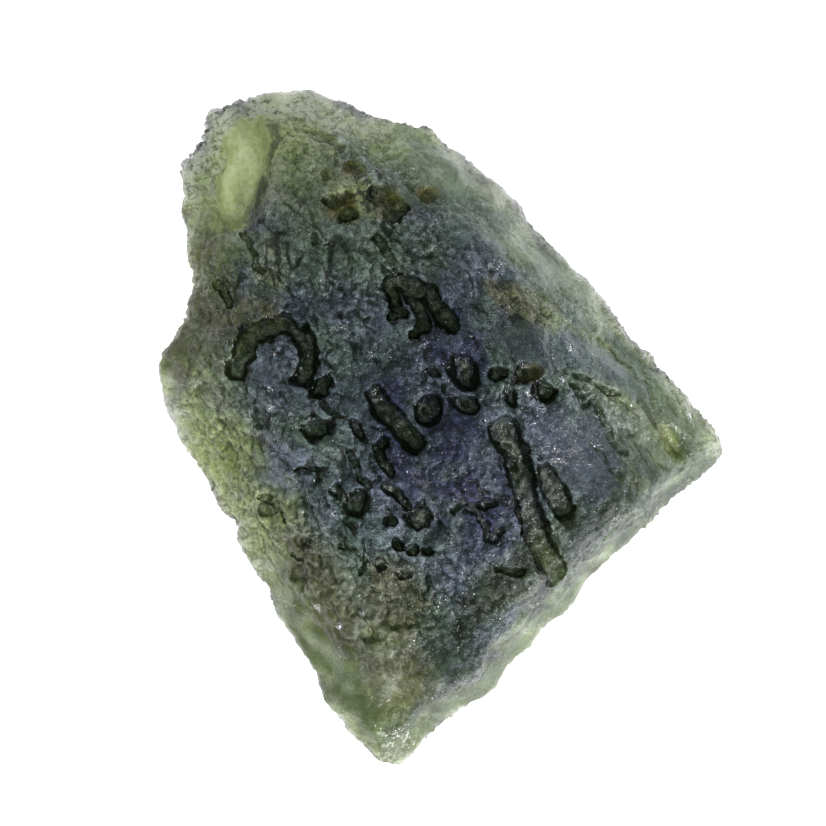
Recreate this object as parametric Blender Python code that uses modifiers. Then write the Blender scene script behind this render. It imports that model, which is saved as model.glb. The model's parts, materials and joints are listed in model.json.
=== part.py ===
"""Moldavite: one broken, etched piece of green natural glass, lying on its flatter side.

The stone is one solid. It starts as a slab of the broken outline, its two faces are then shaped
by the flanks, the steep fracture and the low underside, and the etched grooves and pits are sunk
in it. X runs across the stone, Y along it to the thin chipped end, and Z is up.
"""
import math
import random

import bmesh
import bpy
import numpy as np
from mathutils import Vector, noise

MM = 0.001

# Overall form, in millimetres.
SLAB_THICKNESS = 1.2
CREST_HEIGHT = 7.9
RIM_HEIGHT = 2.4
FLANK_REACH = 3.0
LONG_FLANK_REACH = 3.6
CHIPPED_END_REACH = 5.2
THIN_EDGE_REACH = 5.0
SHOULDER_RIM_HEIGHT = 3.8
SHOULDER_REACH = 3.6
FRACTURE_FOOT_HEIGHT = 1.25
FRACTURE_SLOPE = 2.8
FRACTURE_WIDTH = 1.45
APRON_HEIGHT = 5.3
APRON_SLOPE = 0.45
LOW_TIP = (-2.2, -14.0)
LOW_TIP_SLOPE = 0.42
RIGHT_TIP = (11.7, -0.8)
RIGHT_TIP_SLOPE = 0.50
CREASE_BLEND = 1.3
FRACTURE_BLEND = 0.25

# Underside: the rim is lifted off the surface, and the middle is cut flat to rest on.
UNDER_LIFT = 1.75
FRACTURE_UNDER_LIFT = 0.85
FRACTURE_UNDER_REACH = 4.0
UNDER_REACH = 8.4
UNDER_POWER = 1.6
UNDER_BLEND = 0.9
REST_CUT = 0.13
THINNEST_RIM = 0.55
THINNEST_SCAR = 1.1

# Surface relief and mesh fineness.
EDGE_OUTSET = 0.07
SWELL_SIZE = 3.0
SWELL_DEPTH = 0.26
LUMP_SIZE = 1.1
LUMP_DEPTH = 0.13
LUMP_SHIFT = Vector((7, 3, 5))
DIMPLE_SIZE = 1.5
DIMPLE_DEPTH = 0.13
DIMPLE_FLOOR_AND_LIP = (0.1, 0.5)
HOLLOW_FLOOR_AND_LIP = (0.45, 1.15)
SCAR_FLOOR_AND_LIP = (0.5, 1.1)
CARVED_TILT = (0.1, 0.5)
SCARRED_TILT = (-0.1, 0.3)
RELIEF_FADE_HEIGHTS = (0.1, 0.6)
FIRST_VOXEL = 0.24
FINAL_VOXEL = 0.19
TRIANGLE_TARGET = 9600
MERGE_DISTANCE = 0.00001

# The broken outline seen from above, clockwise, one run for each edge, in millimetres.
CHIPPED_END = [
    (-9.9, 13.2), (-8.7, 13.6), (-7.9, 13.6), (-7.3, 13.8), (-6.1, 13.8), (-5.5, 14.0),
    (-4.8, 13.8), (-4.0, 13.6), (-3.3, 13.3), (-2.7, 12.8), (-1.3, 12.6), (-0.5, 12.5),
]
UPPER_FLANK_EDGE = [
    (-0.5, 12.5), (0.0, 12.0), (0.9, 11.4), (1.4, 10.9), (1.8, 10.4), (2.9, 9.3), (3.6, 8.6),
    (4.3, 7.8), (5.2, 7.0), (5.1, 6.7), (5.8, 6.3), (6.7, 5.1), (7.3, 4.2), (8.0, 3.5),
    (8.6, 3.1), (8.9, 2.7), (9.4, 2.3), (9.9, 1.5), (10.4, 0.9), (10.9, 0.4), (11.7, -0.8),
]
FRACTURE_EDGE = [
    (11.7, -0.8), (11.0, -1.6), (10.5, -2.0), (9.4, -3.0), (8.1, -4.2), (7.4, -4.8),
    (6.7, -5.6), (6.1, -6.1), (5.5, -6.8), (5.2, -7.3), (4.5, -7.8), (4.0, -8.1), (3.7, -8.7),
    (3.1, -9.2), (2.5, -9.8), (2.4, -10.3), (2.0, -10.9), (1.2, -11.3), (0.5, -11.8),
    (-0.6, -12.4), (-1.0, -12.9), (-1.4, -13.4), (-1.8, -13.8), (-2.2, -14.0),
]
LONG_FLANK_EDGE = [
    (-2.2, -14.0), (-2.7, -13.8), (-3.0, -13.3), (-3.8, -12.5), (-4.1, -12.1), (-4.9, -10.8),
    (-5.0, -10.1), (-5.3, -9.7), (-6.2, -8.3), (-6.7, -7.8), (-7.0, -7.1), (-7.4, -6.2),
    (-7.7, -5.9), (-8.7, -3.9), (-9.2, -3.4), (-9.6, -2.6), (-9.8, -2.0), (-10.5, -0.9),
    (-11.2, 0.4), (-11.5, 0.8),
]
SHOULDER_EDGE = [
    (-11.5, 0.8), (-11.6, 1.5), (-11.7, 2.2), (-11.5, 3.2), (-10.8, 4.2), (-10.5, 5.6),
    (-10.3, 6.2), (-10.5, 6.8), (-10.5, 8.2), (-10.9, 9.1),
]
THIN_EDGE = [
    (-10.9, 9.1), (-10.5, 9.7), (-10.8, 10.7), (-10.4, 11.3), (-9.9, 11.8), (-9.8, 12.3),
    (-9.9, 13.2),
]
EDGES = [CHIPPED_END, UPPER_FLANK_EDGE, FRACTURE_EDGE, LONG_FLANK_EDGE, SHOULDER_EDGE, THIN_EDGE]

# Etched grooves: width, depth and the middle line of the floor.
GROOVES = {
    "hook": (0.76, 0.42, [
        (-8.2, 3.1), (-8.0, 3.7), (-7.6, 3.9), (-7.0, 4.1), (-6.4, 4.2), (-5.9, 3.9),
        (-5.5, 3.5), (-5.4, 3.0), (-5.5, 2.5), (-5.7, 2.0)]),
    "middle": (0.84, 0.50, [(-2.7, 1.2), (-2.4, 0.8), (-2.0, 0.3), (-1.6, -0.2), (-1.2, -0.6)]),
    "long": (1.12, 0.60, [
        (2.6, -0.1), (2.8, -0.6), (3.1, -1.2), (3.3, -1.9), (3.4, -2.5), (3.5, -3.2),
        (3.7, -3.8), (3.9, -4.4), (4.2, -5.1), (4.5, -5.7)]),
    "long_side": (0.98, 0.50, [(4.4, -2.0), (4.6, -2.5), (4.9, -3.0), (5.0, -3.4)]),
    "nest_left": (0.66, 0.42, [
        (-2.0, 5.2), (-2.1, 5.8), (-1.7, 6.1), (-1.2, 5.9), (-0.9, 5.6)]),
    "nest_right": (0.74, 0.46, [(-0.5, 5.4), (-0.2, 5.0), (0.1, 4.5), (0.5, 4.2)]),
    "nest_middle": (0.50, 0.36, [(-1.2, 5.3), (-0.9, 4.8), (-0.7, 4.3), (-1.1, 3.8)]),
    "nest_lobe": (0.50, 0.30, [(-2.0, 5.0), (-1.7, 4.7), (-2.0, 4.5)]),
    "low_left": (0.44, 0.30, [(-2.3, -2.7), (-1.8, -2.6), (-1.3, -3.0)]),
    "low_arc": (0.46, 0.36, [
        (-1.2, -3.2), (-0.7, -3.4), (-0.4, -3.8), (-0.4, -4.3), (-0.8, -4.5)]),
    "low_hook": (0.44, 0.30, [
        (-2.3, -3.3), (-1.6, -3.3), (-1.5, -3.8), (-1.5, -4.3), (-1.8, -4.6), (-2.2, -4.6)]),
    "flank_ledge": (0.50, 0.20, [
        (5.4, 3.9), (5.6, 3.5), (6.2, 3.4), (6.8, 3.2), (7.3, 2.8), (7.7, 2.2), (8.2, 1.8)]),
    "upper_ledge": (0.60, 0.16, [(1.2, 7.5), (1.8, 6.8), (2.4, 6.1), (3.3, 5.6), (4.9, 5.2)]),
}

# Etched pits: middle x and y, length, width, turn in degrees and depth. A minus depth is a knob.
PITS = [
    (-5.0, 1.6, 1.15, 0.68, 41, 0.32),
    (-7.4, 0.4, 1.10, 0.85, 100, 0.20),
    (-5.1, -0.1, 1.30, 1.15, 20, 0.42),
    (-3.4, -0.1, 1.10, 0.58, -63, 0.26),
    (-8.4, 2.3, 0.85, 0.65, 80, 0.20),
    (-2.4, -0.7, 0.75, 0.62, 0, 0.32),
    (-0.5, 0.7, 1.25, 1.22, 0, 0.46),
    (0.9, 2.3, 1.80, 1.10, -60, 0.42),
    (1.0, 1.0, 1.40, 0.68, -20, 0.26),
    (-0.3, 2.3, 0.80, 0.45, -25, 0.20),
    (-1.1, 5.6, 1.20, 0.62, -10, 0.30),
    (-3.6, 3.5, 0.85, 0.80, 0, 0.14),
    (2.3, 2.2, 0.85, 0.60, 0, 0.26),
    (3.5, 2.2, 1.25, 0.90, 10, 0.36),
    (4.3, 1.5, 1.05, 0.90, 0, 0.36),
    (2.9, 1.2, 0.95, 0.55, -60, 0.26),
    (1.9, -3.1, 1.00, 0.55, -15, 0.26),
    (2.3, -4.4, 0.90, 0.60, 60, 0.22),
    (-3.5, -3.2, 1.25, 1.10, 70, 0.34),
    (-1.3, -5.0, 0.95, 0.55, 0, 0.30),
    (1.3, -3.3, 1.00, 0.60, 20, 0.20),
    (-7.2, -3.4, 0.95, 0.65, -40, 0.22),
    (-5.8, -4.7, 0.85, 0.60, -30, 0.22),
    (-5.9, -6.1, 0.85, 0.65, 30, 0.22),
    (-2.9, -8.5, 1.15, 0.85, -60, 0.32),
    (-4.7, 10.4, 0.65, 0.55, 0, 0.20),
    (-3.6, 10.6, 0.95, 0.75, -30, 0.26),
    (-4.6, 9.2, 0.80, 0.68, 0, 0.36),
    (-4.0, 9.4, 0.80, 0.80, 0, 0.26),
    (-3.9, 8.7, 1.00, 0.80, 20, 0.42),
    (-2.5, 9.6, 1.05, 0.80, 0, 0.30),
    (-1.9, 9.0, 1.25, 1.10, 70, 0.42),
    (-0.5, 9.6, 0.80, 0.70, 0, 0.26),
    (1.5, 9.5, 0.70, 0.60, 0, 0.16),
    (9.5, -0.6, 1.60, 0.85, -65, 0.50),
    (7.7, -0.1, 0.95, 0.85, 30, 0.12),
    (2.6, -5.4, 0.65, 0.50, 80, -0.20),
    (-3.5, -3.2, 0.50, 0.40, 70, -0.20),
]

# The bright chip scar at the thin end, a hollow with a step beside it.
CHIP_SCARS = [
    (-8.2, 10.3, 5.0, 2.5, 76, 1.45),
    (-8.0, 7.4, 1.9, 1.3, 55, 0.40),
    (-9.9, 11.2, 1.9, 1.2, 60, 0.45),
    (-11.2, 1.9, 1.6, 0.9, 90, 0.60),
]

# Weathered grooves of the underside, laid out as on the upper face, and how its pits scatter.
UNDER_GROOVES = [
    (1.00, 0.38, [(-7.8, 1.3), (-7.0, 0.7), (-6.6, -0.3), (-6.9, -1.2)]),
    (0.80, 0.32, [(-5.9, -4.0), (-5.2, -5.0), (-5.3, -6.0), (-4.6, -6.8)]),
    (0.90, 0.36, [(-2.6, 8.8), (-1.6, 8.9), (-0.9, 8.2), (-1.1, 7.4)]),
    (0.75, 0.30, [(1.4, 7.2), (2.1, 6.9), (2.9, 5.9)]),
    (0.95, 0.36, [(3.5, -5.7), (4.5, -4.7), (4.6, -3.8), (5.5, -3.1)]),
    (0.80, 0.32, [(-5.6, 11.0), (-6.6, 10.4), (-6.8, 9.3), (-6.1, 8.6)]),
    (0.75, 0.30, [(6.9, 1.6), (7.8, 1.2), (8.3, 0.3)]),
]
UNDER_PIT_COUNT = 46
UNDER_PIT_SPREAD = (10.5, 12.5)
UNDER_PIT_LENGTHS = (0.8, 1.9)
UNDER_PIT_WIDTH_SHARES = (0.5, 0.85)
UNDER_PIT_DEPTHS = (0.16, 0.36)
UNDER_PIT_TURNS = (-85, -20)
UNDER_PIT_SEED = 11


def clear_scene():
    """Remove every object, so the model starts from nothing."""
    for item in list(bpy.data.objects):
        bpy.data.objects.remove(item, do_unlink=True)


def smooth_step(low, high, value):
    """0 below low, 1 above high, and an even rise between."""
    part = np.clip((value - low) / (high - low), 0.0, 1.0)
    return part * part * (3.0 - 2.0 * part)


def smooth_min(first, second, blend):
    """The lower of two surfaces, with the crease between them rounded over blend."""
    share = np.clip(0.5 + 0.5 * (second - first) / blend, 0.0, 1.0)
    return second * (1.0 - share) + first * share - blend * share * (1.0 - share)


def path_distance(x, y, path):
    """Distance from each point to a line of straight runs."""
    nearest = np.full(x.shape, 1e6)
    for (ax, ay), (bx, by) in zip(path, path[1:]):
        run_x, run_y = bx - ax, by - ay
        along = ((x - ax) * run_x + (y - ay) * run_y) / (run_x * run_x + run_y * run_y)
        along = np.clip(along, 0.0, 1.0)
        nearest = np.minimum(nearest, np.hypot(x - ax - along * run_x, y - ay - along * run_y))
    return nearest


def oval_distance(x, y, middle_x, middle_y, length, width, turn):
    """0 at the middle of an oval and 1 on its edge."""
    cos_turn, sin_turn = math.cos(math.radians(turn)), math.sin(math.radians(turn))
    along = (x - middle_x) * cos_turn + (y - middle_y) * sin_turn
    across = (y - middle_y) * cos_turn - (x - middle_x) * sin_turn
    return np.hypot(along / (length / 2), across / (width / 2))


def hollow(reach):
    """The section of an etched hollow: a flat floor, a steep wall and a rounded lip."""
    return 1.0 - smooth_step(*HOLLOW_FLOOR_AND_LIP, reach)


def flank(distance, rim_height, reach):
    """Height of a rounded flank: steep at the rim and level towards the crest."""
    return rim_height + (CREST_HEIGHT - rim_height) * (1.0 - np.exp(-distance / reach))


def upper_surface(x, y):
    """Height of the upper face: a crest that falls to the flanks and to the steep fracture."""
    fracture = path_distance(x, y, FRACTURE_EDGE)
    low_tip = np.hypot(x - LOW_TIP[0], y - LOW_TIP[1])
    right_tip = np.hypot(x - RIGHT_TIP[0], y - RIGHT_TIP[1])
    surfaces = [
        flank(path_distance(x, y, UPPER_FLANK_EDGE), RIM_HEIGHT, FLANK_REACH),
        flank(path_distance(x, y, LONG_FLANK_EDGE), RIM_HEIGHT, LONG_FLANK_REACH),
        flank(path_distance(x, y, CHIPPED_END), RIM_HEIGHT, CHIPPED_END_REACH),
        flank(path_distance(x, y, THIN_EDGE), RIM_HEIGHT, THIN_EDGE_REACH),
        flank(path_distance(x, y, SHOULDER_EDGE), SHOULDER_RIM_HEIGHT, SHOULDER_REACH),
        RIM_HEIGHT + LOW_TIP_SLOPE * low_tip,
        RIM_HEIGHT + RIGHT_TIP_SLOPE * right_tip,
        APRON_HEIGHT + APRON_SLOPE * (fracture - FRACTURE_WIDTH),
    ]
    height = surfaces[0]
    for surface in surfaces[1:]:
        height = smooth_min(height, surface, CREASE_BLEND)
    return smooth_min(height, FRACTURE_FOOT_HEIGHT + FRACTURE_SLOPE * fracture, FRACTURE_BLEND)


def lower_surface(x, y):
    """Height of the underside: a low bowl that the resting cut makes flat in the middle."""
    distances = [path_distance(x, y, edge) for edge in EDGES]
    rim = -UNDER_BLEND * np.log(sum(np.exp(-distance / UNDER_BLEND) for distance in distances))
    from_fracture = path_distance(x, y, FRACTURE_EDGE)
    near_fracture = 1.0 - smooth_step(0.0, FRACTURE_UNDER_REACH, from_fracture)
    lift = UNDER_LIFT + (FRACTURE_UNDER_LIFT - UNDER_LIFT) * near_fracture
    return lift * (1.0 - np.clip(rim / UNDER_REACH, 0.0, 1.0)) ** UNDER_POWER - REST_CUT


def under_pits():
    """Ovals scattered over the underside, all turned roughly along the flow of the glass."""
    draw = random.Random(UNDER_PIT_SEED)
    spread_x, spread_y = UNDER_PIT_SPREAD
    pits = []
    for _ in range(UNDER_PIT_COUNT):
        length = draw.uniform(*UNDER_PIT_LENGTHS)
        middle_x, middle_y = draw.uniform(-spread_x, spread_x), draw.uniform(-spread_y, spread_y)
        width = length * draw.uniform(*UNDER_PIT_WIDTH_SHARES)
        turn, depth = draw.uniform(*UNDER_PIT_TURNS), draw.uniform(*UNDER_PIT_DEPTHS)
        pits.append((middle_x, middle_y, length, width, turn, depth))
    return pits


def slab():
    """The broken outline as a filled curve, extruded to a thin slab and made a mesh."""
    outline = [point for edge in EDGES for point in edge[:-1]]
    curve = bpy.data.curves.new("outline", "CURVE")
    curve.dimensions = "2D"
    curve.fill_mode = "BOTH"
    curve.extrude = SLAB_THICKNESS / 2 * MM
    curve.offset = EDGE_OUTSET * MM
    spline = curve.splines.new("POLY")
    spline.points.add(len(outline) - 1)
    for point, (x, y) in zip(spline.points, outline):
        point.co = (x * MM, y * MM, 0.0, 1.0)
    spline.use_cyclic_u = True
    guide = bpy.data.objects.new("outline", curve)
    bpy.context.scene.collection.objects.link(guide)
    mesh = evaluated_mesh(guide)
    bpy.data.objects.remove(guide, do_unlink=True)
    return mesh


def evaluated_mesh(item):
    """A welded mesh of what the object's curve or modifiers make."""
    bpy.context.view_layer.update()
    graph = bpy.context.evaluated_depsgraph_get()
    mesh = bpy.data.meshes.new_from_object(item.evaluated_get(graph))
    work = bmesh.new()
    work.from_mesh(mesh)
    bmesh.ops.remove_doubles(work, verts=work.verts, dist=MERGE_DISTANCE)
    work.to_mesh(mesh)
    work.free()
    return mesh


def apply_modifier(item, kind, **settings):
    """Run one modifier on the object and keep its result as the object's mesh."""
    modifier = item.modifiers.new(kind.lower(), kind)
    for name, value in settings.items():
        setattr(modifier, name, value)
    mesh = evaluated_mesh(item)
    item.modifiers.clear()
    item.data = mesh


def points_of(mesh):
    """The mesh's points, one row each, in millimetres."""
    flat = np.empty(len(mesh.vertices) * 3)
    mesh.vertices.foreach_get("co", flat)
    return flat.reshape(-1, 3) / MM


def normals_of(mesh):
    """The direction that the surface faces at each point."""
    flat = np.empty(len(mesh.vertices) * 3)
    mesh.vertices.foreach_get("normal", flat)
    return flat.reshape(-1, 3)


def move_points(mesh, points):
    """Put the mesh's points at new places given in millimetres."""
    mesh.vertices.foreach_set("co", (points * MM).ravel())
    mesh.update()


def shape_faces(mesh):
    """Stretch the slab so that its two faces follow the upper and the lower surface."""
    points = points_of(mesh)
    x, y = points[:, 0], points[:, 1]
    share = np.clip(points[:, 2] / SLAB_THICKNESS + 0.5, 0.0, 1.0)
    low = lower_surface(x, y)
    high = np.maximum(upper_surface(x, y), low + THINNEST_RIM)
    points[:, 2] = low + share * (high - low)
    move_points(mesh, points)


def sink_chip_scars(mesh):
    """Hollow out the conchoidal scars at the thin end and on the shoulder."""
    points, facing = points_of(mesh), normals_of(mesh)
    x, y = points[:, 0], points[:, 1]
    upward = smooth_step(*SCARRED_TILT, facing[:, 2])
    for middle_x, middle_y, length, width, turn, depth in CHIP_SCARS:
        reach = oval_distance(x, y, middle_x, middle_y, length, width, turn)
        points[:, 2] -= depth * upward * (1.0 - smooth_step(*SCAR_FLOOR_AND_LIP, reach))
    floor = lower_surface(x, y) + THINNEST_SCAR
    too_thin = (points[:, 2] < floor) & (upward > 0.5)
    points[:, 2] = np.where(too_thin, floor, points[:, 2])
    move_points(mesh, points)


def carve(mesh):
    """Sink the grooves and pits into the upper face and the weathered ones into the underside."""
    points, facing = points_of(mesh), normals_of(mesh)
    x, y = points[:, 0], points[:, 1]
    upward = smooth_step(*CARVED_TILT, facing[:, 2])
    downward = smooth_step(*CARVED_TILT, -facing[:, 2])
    sunk = np.zeros(x.shape)
    for width, depth, path in GROOVES.values():
        sunk = np.maximum(sunk, depth * hollow(path_distance(x, y, path) / (width / 2)))
    for middle_x, middle_y, length, width, turn, depth in PITS:
        form = hollow(oval_distance(x, y, middle_x, middle_y, length, width, turn))
        sunk = np.maximum(sunk, depth * form) if depth > 0 else sunk + depth * form
    raised = np.zeros(x.shape)
    for middle_x, middle_y, length, width, turn, depth in under_pits():
        form = hollow(oval_distance(x, y, middle_x, middle_y, length, width, turn))
        raised = np.maximum(raised, depth * form)
    for width, depth, path in UNDER_GROOVES:
        raised = np.maximum(raised, depth * hollow(path_distance(x, y, path) / (width / 2)))
    points[:, 2] += downward * raised - upward * sunk
    move_points(mesh, points)


def weather(mesh):
    """Roll the whole surface with slow swells, small lumps and rounded dimples."""
    points, facing = points_of(mesh), normals_of(mesh)
    swell = np.array([noise.noise(Vector(point / SWELL_SIZE)) for point in points])
    lump = np.array([noise.noise(Vector(point / LUMP_SIZE) + LUMP_SHIFT) for point in points])
    nearest = np.array([noise.voronoi(Vector(point / DIMPLE_SIZE))[0][0] for point in points])
    dimple = 1.0 - smooth_step(*DIMPLE_FLOOR_AND_LIP, nearest)
    offset = SWELL_DEPTH * swell + LUMP_DEPTH * lump - DIMPLE_DEPTH * dimple
    away_from_rest = smooth_step(*RELIEF_FADE_HEIGHTS, points[:, 2])
    points += facing * (offset * away_from_rest)[:, None]
    move_points(mesh, points)


def cut_rest(mesh):
    """Slice the underside at z = 0 and close it with one flat face to rest on."""
    work = bmesh.new()
    work.from_mesh(mesh)
    parts = work.verts[:] + work.edges[:] + work.faces[:]
    cut = bmesh.ops.bisect_plane(
        work, geom=parts, plane_co=(0, 0, 0), plane_no=(0, 0, 1), clear_inner=True)
    rim = [part for part in cut["geom_cut"] if isinstance(part, bmesh.types.BMEdge)]
    bmesh.ops.triangle_fill(work, edges=rim, use_beauty=True, normal=(0, 0, -1))
    bmesh.ops.triangulate(work, faces=work.faces[:])
    bmesh.ops.recalc_face_normals(work, faces=work.faces[:])
    work.to_mesh(mesh)
    work.free()


def centre(mesh):
    """Move the stone so that the origin is under the middle of its box."""
    points = points_of(mesh)
    middle = (points.min(axis=0) + points.max(axis=0)) / 2
    points[:, :2] -= middle[:2]
    move_points(mesh, points)


def tektite_glass():
    """Dark green natural glass with an etched skin."""
    material = bpy.data.materials.new("tektite_glass")
    material.use_nodes = True
    shader = material.node_tree.nodes["Principled BSDF"]
    shader.inputs["Base Color"].default_value = (0.095, 0.12, 0.055, 1.0)
    shader.inputs["Metallic"].default_value = 0.0
    shader.inputs["Roughness"].default_value = 0.32
    shader.inputs["IOR"].default_value = 1.49
    return material


def build_moldavite():
    """The stone, from slab to finished solid, in a collection of its own."""
    home = bpy.data.collections.new("moldavite_stone")
    bpy.context.scene.collection.children.link(home)
    stone = bpy.data.objects.new("moldavite", slab())
    home.objects.link(stone)
    apply_modifier(stone, "REMESH", mode="VOXEL", voxel_size=FIRST_VOXEL * MM)
    shape_faces(stone.data)
    apply_modifier(stone, "REMESH", mode="VOXEL", voxel_size=FINAL_VOXEL * MM)
    sink_chip_scars(stone.data)
    weather(stone.data)
    carve(stone.data)
    apply_modifier(stone, "REMESH", mode="VOXEL", voxel_size=FINAL_VOXEL * MM)
    triangles = sum(len(face.vertices) - 2 for face in stone.data.polygons)
    apply_modifier(stone, "DECIMATE", ratio=TRIANGLE_TARGET / triangles)
    cut_rest(stone.data)
    centre(stone.data)
    stone.data.materials.clear()
    stone.data.materials.append(tektite_glass())
    stone.data.shade_smooth()
    return stone


clear_scene()
build_moldavite()
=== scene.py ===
"""The moldavite's looks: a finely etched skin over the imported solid, see-through green glass, and light."""
import json
import math
import random
from types import SimpleNamespace

import bpy
import numpy as np
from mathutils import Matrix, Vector, noise
from mathutils.bvhtree import BVHTree

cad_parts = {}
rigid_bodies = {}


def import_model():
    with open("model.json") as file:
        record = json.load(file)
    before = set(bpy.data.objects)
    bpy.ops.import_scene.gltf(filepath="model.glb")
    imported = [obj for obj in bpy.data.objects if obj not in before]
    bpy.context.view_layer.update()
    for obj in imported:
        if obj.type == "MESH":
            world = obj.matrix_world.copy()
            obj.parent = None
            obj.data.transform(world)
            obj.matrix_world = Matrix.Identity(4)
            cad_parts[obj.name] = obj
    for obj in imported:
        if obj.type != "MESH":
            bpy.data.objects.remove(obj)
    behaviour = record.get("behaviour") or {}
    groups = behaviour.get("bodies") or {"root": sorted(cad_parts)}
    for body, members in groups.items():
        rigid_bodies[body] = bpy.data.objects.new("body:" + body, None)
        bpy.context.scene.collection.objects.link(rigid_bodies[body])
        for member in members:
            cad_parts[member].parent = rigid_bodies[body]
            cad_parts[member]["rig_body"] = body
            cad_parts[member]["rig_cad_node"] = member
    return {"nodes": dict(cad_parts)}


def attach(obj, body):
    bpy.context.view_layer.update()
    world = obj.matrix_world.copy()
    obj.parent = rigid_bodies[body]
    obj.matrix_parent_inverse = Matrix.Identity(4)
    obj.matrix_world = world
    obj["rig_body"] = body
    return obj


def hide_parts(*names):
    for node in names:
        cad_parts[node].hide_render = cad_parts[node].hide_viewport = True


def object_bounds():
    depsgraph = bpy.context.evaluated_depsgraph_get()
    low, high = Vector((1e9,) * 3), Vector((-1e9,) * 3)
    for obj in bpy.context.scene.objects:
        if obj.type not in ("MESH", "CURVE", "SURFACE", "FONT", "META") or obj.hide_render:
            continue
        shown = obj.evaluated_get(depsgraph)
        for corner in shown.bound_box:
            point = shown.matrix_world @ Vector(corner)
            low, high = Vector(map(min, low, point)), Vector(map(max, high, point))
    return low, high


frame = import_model()
cad_low, cad_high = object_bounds()

MM = 0.001

# The photo's width in pixels, and the stone's length in pixels and in millimetres.
PHOTO_WIDTH = 826
STONE_LENGTH_PX = 677
STONE_LENGTH = 28.0
PIXEL = STONE_LENGTH / STONE_LENGTH_PX * MM
STONE_MIDDLE_PX = (441.0, 426.5)

# The stone's mesh. Sizes on the stone are in millimetres from here on.
MERGE = 0.01
SKIN_VOXEL = 0.075
SOFTEN_SHARE = 0.5
SOFTEN_TURNS = 10
MOST_TRIANGLES = 196000
UNDER_SHARE = 0.12
UNDER_FACING = -0.3

# Etched relief: size, depth, and a shift that keeps each noise apart from the others.
SWELL = (2.2, 0.16, 3.1)
LUMPS = (0.95, 0.20, 7.9)
DOMES = (0.56, 0.18, 5.5)
PEEL = (0.30, 0.10, 9.1)
GRAIN = (0.17, 0.018, 17.1)
FLANK_LUMPS = (0.46, 0.16, 29.5)
END_CHIPS = (0.36, 0.26, 67.3)
RIM_CHIPS = (0.70, 0.14, 41.0)
RIM_JAG = (0.22, 0.09, 83.0)
SEAM_CELLS = (0.80, 0.07, 97.0)
FLOOR_BUMPS = (0.26, 0.15, 53.0)
GROOVE_WANDER = (0.80, 0.18, 11.3)
GROOVE_FRAY = (0.30, 0.12, 37.9)
WALL_UNEVEN = (0.55, 0.9, 29.1)

# Patches of the skin: size, shift, and the noise at which a patch begins and is full.
PEEL_PATCHES = (2.4, 23.0, -0.25, 0.35)
SEAM_PATCHES = (0.9, 43.0, 0.0, 0.25)
LEDGE_PATCHES = (0.5, 87.0, -0.4, 0.1)
BROAD_PATCHES = (2.6, 61.0, -0.4, 0.4)
SMALL_PATCHES = (0.8, 67.0, -0.35, 0.35)
TONE_PATCHES = (0.9, 71.0, -0.5, 0.25)
TONE_SHIFT = 7

# The way that the glass flowed, in degrees, and how far relief is drawn out along it.
FLOW_TURN = -60
FLOW_STRETCH = 1.8

# A lump is part round crown and part crease: the share of each, and its reach in cell sizes.
CROWN_SHARE = 0.55
CROWN_REACH = 0.75
CREASE_SHARE = 0.45
CREASE_REACH = 0.3
LUMP_MIDDLE = 0.5

# Where a stretch begins and is full: by how the skin faces, how thick the glass is, or how high.
UPWARD = (0.0, 0.4)
LEVEL = (0.3, 0.6)
UPRIGHT = (0.15, 0.6)
PAINTED = (-0.2, 0.15)
FACING_KEY = (0.05, 0.6)
THICK_GLASS = (1.2, 4.2)
WHITE_GLASS = (0.4, 1.5)
OFF_THE_REST = (0.08, 0.5)

# How much of the relief calm, thin and upright stretches lose, and where it is patchy.
CALM_STRENGTH = 0.75
CALM_LOSS = 0.9
CALM_BROAD_LOSS = 0.7
SIDE_LOSS = 0.7
SIDE_BROAD_LOSS = 0.6
DOMES_FULL = 0.75
DOMES_THIN_LOSS = 0.45
PEEL_LEAST = 0.3
PEEL_MORE = 0.7
CHIP_REACH = 0.7
CHIP_LEVEL = 0.75
CHIPPED_MORE = 1.5
SEAM_THIN_LOSS = 0.5

# Where a hollow's floor, wall and rim lie, and the rims of pits, cracks and ovals, in half widths.
HOLLOW_FLOOR = (0.35, 0.64)
HOLLOW_RIM = (0.62, 1.02)
WALL_MIDDLE = 0.82
PIT_RIM = (0.35, 1.1)
CRACK_RIM = (0.2, 1.2)
OVAL_RIM = (0.45, 1.2)

# Painted shade on a hollow's wall: its reach, the width that narrower hollows count as, how much it is
# narrowed, and the depth from which the shade is full.
WALL_REACH = (0.07, 0.17)
WALL_FULL_WIDTH = 0.85
WALL_NARROWING = 1.15
STRONG_DEPTH = 0.26

# How far a seam reaches from the line between two cells, in cell sizes.
SEAM_REACH = (0.05, 0.20)

# Creases are found against the skin smoothed this many times, and this percentile is a deep one.
CREASE_TURNS = 10
CREASE_DEEP = 90

# How far inside the skin a thickness is measured from.
MEASURE_FROM = 0.2

# Small pits strewn over the skin along the flow.
STREWN_PITS = 130
STREWN_SPREAD = (10.5, 12.5)
STREWN_LENGTHS = (0.45, 1.25)
STREWN_SHARES = (0.35, 0.75)
STREWN_DEPTHS = (0.05, 0.17)
STREWN_TURNS = (-95, -30)
STREWN_SEED = 5

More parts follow.
